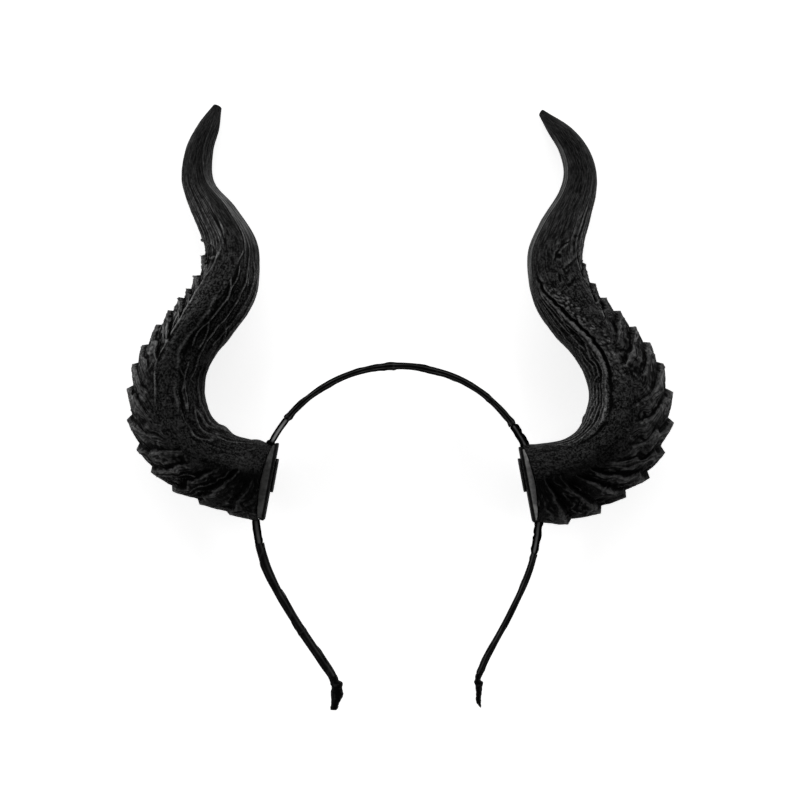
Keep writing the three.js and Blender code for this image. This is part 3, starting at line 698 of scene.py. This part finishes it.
# The ribbon's folded ends, as along from the fold's start, size across, size deep, and shift towards the head
endFolds = {
    "left": {
        "sign": -1, "end": 0, "seed": 41,
        "rows": [
            (0, 4.2, 6.6, 0.25), (1.6, 4.0, 6.6, 0.2), (2.3, 4.2, 6.9, 0.25), (2.9, 5.2, 7.4, 0.75),
            (5.5, 4.9, 7.6, 0.8), (7.2, 5.6, 7.6, 0.8), (9.5, 5.2, 7.2, 0.65), (11.2, 4.2, 6.8, 0.3),
            (13, 3.5, 6.2, 0.0), (14.4, 3.3, 5.8, -0.2), (15.3, 2.6, 4.8, -0.5),
        ],
    },
    "right": {
        "sign": 1, "end": routeLength, "seed": 42,
        "rows": [
            (0, 3.2, 6.4, 0.0), (1.2, 2.9, 6.4, 0.0), (2.2, 2.6, 6.6, 0.0), (2.9, 3.2, 6.8, -0.1),
            (3.4, 4.2, 6.8, -0.3), (4.2, 4.0, 6.4, -0.5), (5.2, 3.4, 6.4, -0.4), (6.2, 3.0, 6.2, -0.3),
            (8.5, 2.7, 5.6, 0.0), (10, 2.5, 5.2, 0.2), (12, 2.4, 4.4, 0.4), (13.2, 1.8, 3.6, 0.3),
            (15.2, 0.5, 2.4, -0.4),
        ],
    },
}


def makeEndFold(name, fold):
    length = fold["rows"][-1][0]
    rings = math.ceil(length / foldLook["step"])
    seed, sign = fold["seed"], fold["sign"]
    start = fold["end"] - sign * foldLook["start"]

    def shape(u, ring):
        far = length * ring / rings
        wide, deep, shift = (tableAt(far, fold["rows"], column) for column in (1, 2, 3))
        x, z = section(u, foldLook["exponent"])
        crumple = 0.16 * lumps(far / 1.0, 8 * u % 8, seed) + 0.1 * lumps(far / 0.5, 14 * u % 14, seed + 1)
        points = besideRoute(start + sign * far, (wide / 2 + crumple) * x - shift, (deep / 2 + crumple) * z)
        # A faint painted sheen line along the fold
        lined = bell(u - 0.2, 0.02) * (0.12 + 0.12 * sway(far / 1.2, seed + 2))
        return points, {"height": foldLook["markGain"] * crumple, "lined": lined}

    return rolledPiece(f"{name}EndFold", f"{name}_end_fold", foldLook["around"], rings, shape)


foldPieces = [makeEndFold(name, fold) for name, fold in endFolds.items()]

print("pads")
plateLook = {"cornerSteps": 7, "edgeSteps": 3, "rimAngle": 1.2, "sharpAngle": 0.45, "roundPower": 30}
padLook = {"deep": 27.0, "corner": 3.0, "edge": 0.5, "cuts": 25, "round": 0.6, "fill": 0.8}
padSizes = {
    "left": {**padLook, "long": 36.0, "inside": 59.2, "rise": 1.4, "pale": 0.0},
    "right": {**padLook, "long": 35.1, "inside": 60.0, "rise": -0.15, "pale": 1.0},
}
patchSize = {
    "long": 15.6, "deep": 12.0, "thick": 1.2, "corner": 3.0, "edge": 0.25, "cuts": 9, "round": 0.0,
    "rise": 4.5, "pale": 0.0,
}


# A plate on the mouth: long along the mouth, deep front to back, its flat side at near from the arc's centre
def makePlate(name, node, size, side, near, thickAt):
    out, up = mouthFrame(side)
    third = np.cross(out, up)
    form = bmesh.new()
    bmesh.ops.create_cube(form, size=1, matrix=Matrix.Diagonal((size["long"], size["deep"], 1, 1)))
    corners = [edge for edge in form.edges if abs((edge.verts[0].co - edge.verts[1].co).z) > 0.5]
    bmesh.ops.bevel(form, geom=corners, offset=size["corner"], segments=plateLook["cornerSteps"],
                    profile=0.5, affect="EDGES", material=-1)
    for k in range(1, size["cuts"]):
        for axis, reach in ((0, size["long"]), (1, size["deep"])):
            normal, spot = Vector(), Vector()
            normal[axis] = 1
            spot[axis] = reach * (k / size["cuts"] - 0.5)
            everything = form.verts[:] + form.edges[:] + form.faces[:]
            bmesh.ops.bisect_plane(form, geom=everything, plane_co=spot, plane_no=normal)
    form.normal_update()
    rims = [edge for edge in form.edges if edge.calc_face_angle() > plateLook["rimAngle"]]
    for vert in form.verts:
        x, y, z = vert.co
        toEnd = min(abs(2 * x / size["long"]), 1)
        thick = thickAt(x + size["rise"]) * math.sqrt(1 - size["round"] * toEnd ** plateLook["roundPower"])
        place = out * (near + (z + 0.5) * thick) + up * (x + size["rise"]) + third * y
        vert.co = Vector((place + centre) / perMetre)
    bmesh.ops.recalc_face_normals(form, faces=form.faces)
    form.normal_update()
    bmesh.ops.bevel(form, geom=rims, offset=size["edge"] / perMetre, segments=plateLook["edgeSteps"],
                    profile=0.5, affect="EDGES", material=-1)
    mesh = bpy.data.meshes.new(name)
    form.to_mesh(mesh)
    form.free()
    mesh.shade_smooth()
    mesh.set_sharp_from_angle(angle=plateLook["sharpAngle"])
    spots = np.empty(3 * len(mesh.vertices))
    mesh.vertices.foreach_get("co", spots)
    local = perMetre * spots.reshape(-1, 3) - centre
    marks = {
        "raised": local @ out - near,
        "toEnd": size["long"] / 2 - np.abs(local @ up - size["rise"]),
        "pale": np.full(len(local), size["pale"]),
    }
    for key, values in marks.items():
        mesh.attributes.new(key, "FLOAT", "POINT").data.foreach_set("value", values)
    return joinFrame(mesh, name, node)


padPieces, patchPieces = [], []
for name, horn in horns.items():
    padSize = padSizes[name]
    padThick = lambda x: math.sqrt(mouth["padRadius"] ** 2 - x * x) - padSize["inside"]
    pad = makePlate(f"{name}Pad", f"{name}_pad", padSize, horn["side"], padSize["inside"], padThick)
    padPieces.append(pad)
    near = padSize["inside"] - mouth["glueGap"] - patchSize["thick"]
    patchThick = lambda x: patchSize["thick"]
    patch = makePlate(f"{name}Patch", f"{name}_patch", patchSize, horn["side"], near, patchThick)
    patchPieces.append(patch)

print("materials")


def grey(value):
    return (value, value, value)


def newMaterial(name, color, roughness, **constants):
    material = bpy.data.materials.new(name)
    material.use_nodes = True
    shader = material.node_tree.nodes["Principled BSDF"]
    shader.inputs["Base Color"].default_value = (*color, 1)
    shader.inputs["Roughness"].default_value = roughness
    for label, value in constants.items():
        shader.inputs[label].default_value = value
    return material, material.node_tree, shader


def addNode(tree, kind, inputs=None, **settings):
    node = tree.nodes.new(kind)
    for key, value in settings.items():
        setattr(node, key, value)
    for key, value in (inputs or {}).items():
        if isinstance(value, bpy.types.NodeSocket):
            tree.links.new(value, node.inputs[key])
        else:
            node.inputs[key].default_value = value
    return node


def mathNode(tree, operation, *values):
    return addNode(tree, "ShaderNodeMath", dict(enumerate(values)), operation=operation).outputs[0]


def times(tree, first, second):
    return mathNode(tree, "MULTIPLY", first, second)


def plus(tree, first, second):
    return mathNode(tree, "ADD", first, second)


def most(tree, first, second):
    return mathNode(tree, "MAXIMUM", first, second)


def remap(tree, value, fromLow, fromHigh, toLow=0.0, toHigh=1.0):
    settings = {"Value": value, "From Min": fromLow, "From Max": fromHigh, "To Min": toLow, "To Max": toHigh}
    return addNode(tree, "ShaderNodeMapRange", settings).outputs["Result"]


def blendValue(tree, share, first, second):
    return addNode(tree, "ShaderNodeMix", {"Factor": share, "A": first, "B": second}).outputs["Result"]


def blendColor(tree, share, first, second):
    node = addNode(tree, "ShaderNodeMix", data_type="RGBA")
    tree.links.new(share, node.inputs["Factor"])
    for key, color in (("A", first), ("B", second)):
        socket = next(s for s in node.inputs if s.name == key and s.type == "RGBA")
        if isinstance(color, bpy.types.NodeSocket):
            tree.links.new(color, socket)
        else:
            socket.default_value = (*color, 1)
    return next(s for s in node.outputs if s.type == "RGBA")


def mark(tree, name):
    return addNode(tree, "ShaderNodeAttribute", attribute_name=name).outputs["Fac"]


def bump(tree, shader, height, strength, distance):
    node = addNode(tree, "ShaderNodeBump", {"Height": height, "Strength": strength, "Distance": distance})
    tree.links.new(node.outputs["Normal"], shader.inputs["Normal"])


def newGroup(name, *outputs):
    group = bpy.data.node_groups.new(name, "ShaderNodeTree")
    for label in outputs:
        group.interface.new_socket(label, in_out="OUTPUT", socket_type="NodeSocketFloat")
    return group, addNode(group, "NodeGroupOutput")


def useGroup(tree, group):
    return addNode(tree, "ShaderNodeGroup", node_tree=group).outputs


# Fine pebbled grain with blotches, by the object's own coordinates
def grainGroup():
    group, end = newGroup("grain", "Height", "Blotch", "Speck", "Grit")
    coords = addNode(group, "ShaderNodeTexCoord").outputs["Object"]
    noise = lambda scale, detail: addNode(
        group, "ShaderNodeTexNoise", {"Vector": coords, "Scale": scale, "Detail": detail}).outputs["Fac"]
    pebble = addNode(group, "ShaderNodeTexVoronoi", {"Vector": coords, "Scale": 780.0}, feature="SMOOTH_F1")
    rounded = times(group, pebble.outputs["Distance"], -0.9)
    group.links.new(plus(group, rounded, noise(1900.0, 3.0)), end.inputs["Height"])
    for label, scale, detail in (("Blotch", 130.0, 4.0), ("Speck", 620.0, 2.0), ("Grit", 1100.0, 1.0)):
        group.links.new(noise(scale, detail), end.inputs[label])
    return group


grain = grainGroup()


# Fibres along the horn by the marks around and run, and hairs fanned over each scale by fan, reach and row
def fibreGroup():
    group, end = newGroup("fibre", "Along", "Streak", "Hair", "Line")
    lengths = addNode(group, "ShaderNodeCombineXYZ", {"X": mark(group, "around"), "Y": mark(group, "run")})
    fans = addNode(group, "ShaderNodeCombineXYZ", {
        "X": mark(group, "fan"), "Y": mark(group, "reach"), "Z": mark(group, "row"),
    })
    for label, marks, stretch in (
        ("Along", lengths, (1.3, 0.22, 1.0)), ("Streak", lengths, (0.75, 0.03, 1.0)),
        ("Hair", fans, (11.0, 4.0, 3.3)), ("Line", fans, (4.0, 1.6, 5.7)),
    ):
        places = {0: marks.outputs[0], 1: stretch}
        drawn = addNode(group, "ShaderNodeVectorMath", places, operation="MULTIPLY").outputs[0]
        noise = addNode(group, "ShaderNodeTexNoise", {"Vector": drawn, "Scale": 1.0, "Detail": 1.5})
        group.links.new(noise.outputs["Fac"], end.inputs[label])
    return group


fibre = fibreGroup()


def hornRubber():
    material, tree, shader = newMaterial("hornRubber", grey(0.012), 0.6, **{
        "Specular IOR Level": 0.04, "Coat Roughness": 0.34,
    })
    skin, strands = useGroup(tree, grain), useGroup(tree, fibre)
    fine, broad, shaded = mark(tree, "fine"), mark(tree, "broad"), mark(tree, "shaded")
    smooth, scaled, polished = mark(tree, "smooth"), mark(tree, "scaled"), mark(tree, "polished")

    # Thin light lines over the scales, and along the horn where they end
    def hairline(value):
        off = mathNode(tree, "ABSOLUTE", mathNode(tree, "SUBTRACT", value, 0.5))
        return remap(tree, off, 0.015, 0.05, 1.0, 0.0)

    patchy = remap(tree, skin["Blotch"], 0.4, 0.6, 0.2, 0.8)
    thin = times(tree, times(tree, hairline(strands["Line"]), scaled), patchy)
    thin = most(tree, thin, times(tree, hairline(strands["Streak"]), mark(tree, "drawn")))

    # Lighter where the skin stands out, partly worn paint and partly painted highlight, and painted shade
    # where it lies low
    proud = plus(tree, remap(tree, fine, 0.15, 0.95, 0.0, 0.8), remap(tree, broad, 0.1, 1.0, 0.0, 0.25))
    speckled = remap(tree, skin["Speck"], 0.35, 0.65, 0.3, 1.15)
    wearAndHighlight = times(tree, most(tree, proud, thin), speckled)
    sunkShade = plus(tree, remap(tree, fine, -0.05, -0.6, 0.0, 0.65), remap(tree, broad, -0.1, -0.8, 0.0, 0.8))

    # A body of grit, more fibrous on the scales and on the smooth end
    strand = blendValue(tree, scaled, strands["Along"], strands["Hair"])
    fibrous = most(tree, remap(tree, scaled, 0.0, 1.0, 0.4, 0.75), remap(tree, smooth, 0.2, 1.0, 0.4, 0.85))
    mixed = blendValue(tree, fibrous, skin["Grit"], strand)
    light = blendColor(tree, smooth, grey(0.042), grey(0.035))
    lightest = remap(tree, smooth, 0.0, 1.0, 0.59, 0.66)
    body = blendColor(tree, remap(tree, mixed, 0.44, lightest), grey(0.002), light)
    # Worn paint and painted highlight on what stands out, then painted shade in the hollows
    rubbedAndLit = blendColor(tree, wearAndHighlight, body, grey(0.15))
    dark = blendColor(tree, sunkShade, rubbedAndLit, grey(0.001))
    dimmed = times(tree, shaded, remap(tree, wearAndHighlight, 0.1, 0.8, 0.92, 0.6))
    dim = blendColor(tree, dimmed, dark, grey(0.001))
    toned = addNode(tree, "ShaderNodeVectorMath", {0: dim, "Scale": mark(tree, "tone")}, operation="SCALE")
    tree.links.new(toned.outputs[0], shader.inputs["Base Color"])

    tree.links.new(remap(tree, skin["Blotch"], 0.3, 0.7, 0.5, 0.7), shader.inputs["Roughness"])
    gloss = plus(tree, times(tree, proud, 0.08), times(tree, smooth, 0.06))
    gloss = plus(tree, gloss, times(tree, polished, remap(tree, fine, -0.3, 0.4, 0.15, 0.75)))
    tree.links.new(gloss, shader.inputs["Coat Weight"])
    rough = plus(tree, skin["Height"], times(tree, mixed, 2.5))
    rough = plus(tree, rough, times(tree, thin, 0.6))
    bump(tree, shader, rough, remap(tree, smooth, 0.0, 1.0, 1.0, 0.6), 0.0007)
    return material


def glossStrip():
    material, tree, shader = newMaterial("glossStrip", grey(0.02), 0.4, **{"Specular IOR Level": 0.0})
    skin = useGroup(tree, grain)
    # A painted highlight down the strip's middle, broken by the blotches
    wearAndHighlight = times(tree, mark(tree, "middle"), remap(tree, skin["Blotch"], 0.35, 0.6, 0.55, 1.0))
    tree.links.new(blendColor(tree, wearAndHighlight, grey(0.002), grey(0.4)), shader.inputs["Base Color"])
    tree.links.new(remap(tree, skin["Speck"], 0.3, 0.7, 0.32, 0.5), shader.inputs["Roughness"])
    bump(tree, shader, skin["Blotch"], 0.15, 0.0006)
    return material


def wovenRibbon():
    material, tree, shader = newMaterial("wovenRibbon", grey(0.016), 0.62, **{"Specular IOR Level": 0.02})
    skin = useGroup(tree, grain)
    uv = addNode(tree, "ShaderNodeUVMap", uv_map="UVMap").outputs["UV"]
    apart = addNode(tree, "ShaderNodeSeparateXYZ", {"Vector": uv})
    warp, weft = (
        mathNode(tree, "SINE", times(tree, apart.outputs[axis], 2 * math.pi * threads))
        for axis, threads in (("X", 40), ("Y", 300))
    )
    weave = times(tree, warp, weft)
    cloth = blendColor(tree, remap(tree, weave, -1.0, 1.0), grey(0.001), grey(0.005))
    # Painted highlight on the crumples' ridges and along the painted sheen lines
    proud = plus(tree, remap(tree, mark(tree, "fine"), 0.2, 0.9, 0.0, 0.1), mark(tree, "lined"))
    tree.links.new(blendColor(tree, proud, cloth, grey(0.13)), shader.inputs["Base Color"])
    tree.links.new(remap(tree, skin["Blotch"], 0.3, 0.7, 0.5, 0.7), shader.inputs["Roughness"])
    bump(tree, shader, plus(tree, times(tree, weave, 0.25), skin["Speck"]), 0.35, 0.0003)
    return material


def padFoam():
    material, tree, shader = newMaterial("padFoam", grey(0.05), 0.85, **{"Specular IOR Level": 0.03})
    skin = useGroup(tree, grain)
    lit = remap(tree, skin["Speck"], 0.35, 0.65)
    plain = blendColor(tree, lit, (0.06, 0.06, 0.059), (0.105, 0.105, 0.103))
    pale = blendColor(tree, lit, (0.19, 0.19, 0.187), (0.31, 0.31, 0.305))
    foam = blendColor(tree, mark(tree, "pale"), plain, pale)
    # Near black next to the gap towards the patch, as painted shade of that gap, and over the last millimetre
    # at each end
    darkRim = remap(tree, mark(tree, "raised"), 1.1, 1.4, 1.0, 0.0)
    darkRim = most(tree, darkRim, remap(tree, mark(tree, "toEnd"), 0.9, 1.4, 1.0, 0.0))
    rimColour = blendColor(tree, lit, grey(0.003), grey(0.014))
    tree.links.new(blendColor(tree, darkRim, foam, rimColour), shader.inputs["Base Color"])
    bump(tree, shader, skin["Height"], 0.4, 0.0004)
    return material


def patchFelt():
    material, tree, shader = newMaterial("patchFelt", grey(0.03), 0.9, **{"Specular IOR Level": 0.03})
    skin = useGroup(tree, grain)
    lit = remap(tree, skin["Speck"], 0.35, 0.65)
    felt = blendColor(tree, lit, grey(0.035), grey(0.09))
    # Painted shade of the gap to the pad, near black over the patch's side towards it
    gapShade = remap(tree, mark(tree, "raised"), 0.5, 0.8)
    tree.links.new(blendColor(tree, gapShade, felt, grey(0.002)), shader.inputs["Base Color"])
    bump(tree, shader, skin["Speck"], 0.5, 0.0005)
    return material


for pieces, material in (
    (hornPieces, hornRubber()), ([stripPiece], glossStrip()), (windingPieces + foldPieces, wovenRibbon()),
    (padPieces, padFoam()), (patchPieces, patchFelt()),
):
    for piece in pieces:
        piece.data.materials.append(material)

print("stage")
studio = {"floorHalf": 4, "floorGlow": 0.76, "fill": 0.03, "aim": (0, 0.02, 0)}
floorMesh = bpy.data.meshes.new("floor")
floorForm = bmesh.new()
bmesh.ops.create_grid(floorForm, x_segments=1, y_segments=1, size=studio["floorHalf"])
floorForm.to_mesh(floorMesh)
floorForm.free()
floor = bpy.data.objects.new("floor", floorMesh)
bpy.context.scene.collection.objects.link(floor)
paleFloor = newMaterial("paleFloor", grey(0.9), 0.9, **{
    "Emission Color": (1, 1, 1, 1), "Emission Strength": studio["floorGlow"],
})
floorMesh.materials.append(paleFloor[0])

world = bpy.data.worlds.new("studio")
bpy.context.scene.world = world
world.use_nodes = True
world.node_tree.nodes["Background"].inputs["Color"].default_value = (1, 1, 1, 1)
world.node_tree.nodes["Background"].inputs["Strength"].default_value = studio["fill"]

lamps = {
    "topLamp": {"at": (0, 0.95, 0.55), "size": (1.5, 0.6), "power": 5.0},
    "leftLamp": {"at": (-0.95, 0.1, 0.5), "size": (1.2, 0.6), "power": 4.0},
    "rightLamp": {"at": (0.95, 0.1, 0.5), "size": (1.2, 0.6), "power": 4.0},
    "footLamp": {"at": (0, -1.0, 0.6), "size": (1.2, 0.5), "power": 0.4},
}
for name, lamp in lamps.items():
    light = bpy.data.lights.new(name, "AREA")
    light.shape = "RECTANGLE"
    light.size, light.size_y = lamp["size"]
    light.energy = lamp["power"]
    holder = bpy.data.objects.new(name, light)
    holder.location = lamp["at"]
    holder.rotation_euler = (Vector(studio["aim"]) - Vector(lamp["at"])).to_track_quat("-Z", "Y").to_euler()
    bpy.context.scene.collection.objects.link(holder)

# The camera looks straight down at the photo's middle
photo = {"middle": (1.15, 49.77), "across": 368.0, "lens": 200.0, "sensor": 36.0, "clipEnd": 20}
view = bpy.data.cameras.new("camera")
view.lens = photo["lens"]
view.sensor_width = photo["sensor"]
view.clip_end = photo["clipEnd"]
camera = bpy.data.objects.new("camera", view)
away = photo["across"] * photo["lens"] / photo["sensor"]
camera.location = Vector((*photo["middle"], away) + centre) / perMetre
bpy.context.scene.collection.objects.link(camera)
bpy.context.scene.camera = camera
bpy.context.scene.view_settings.view_transform = "Standard"
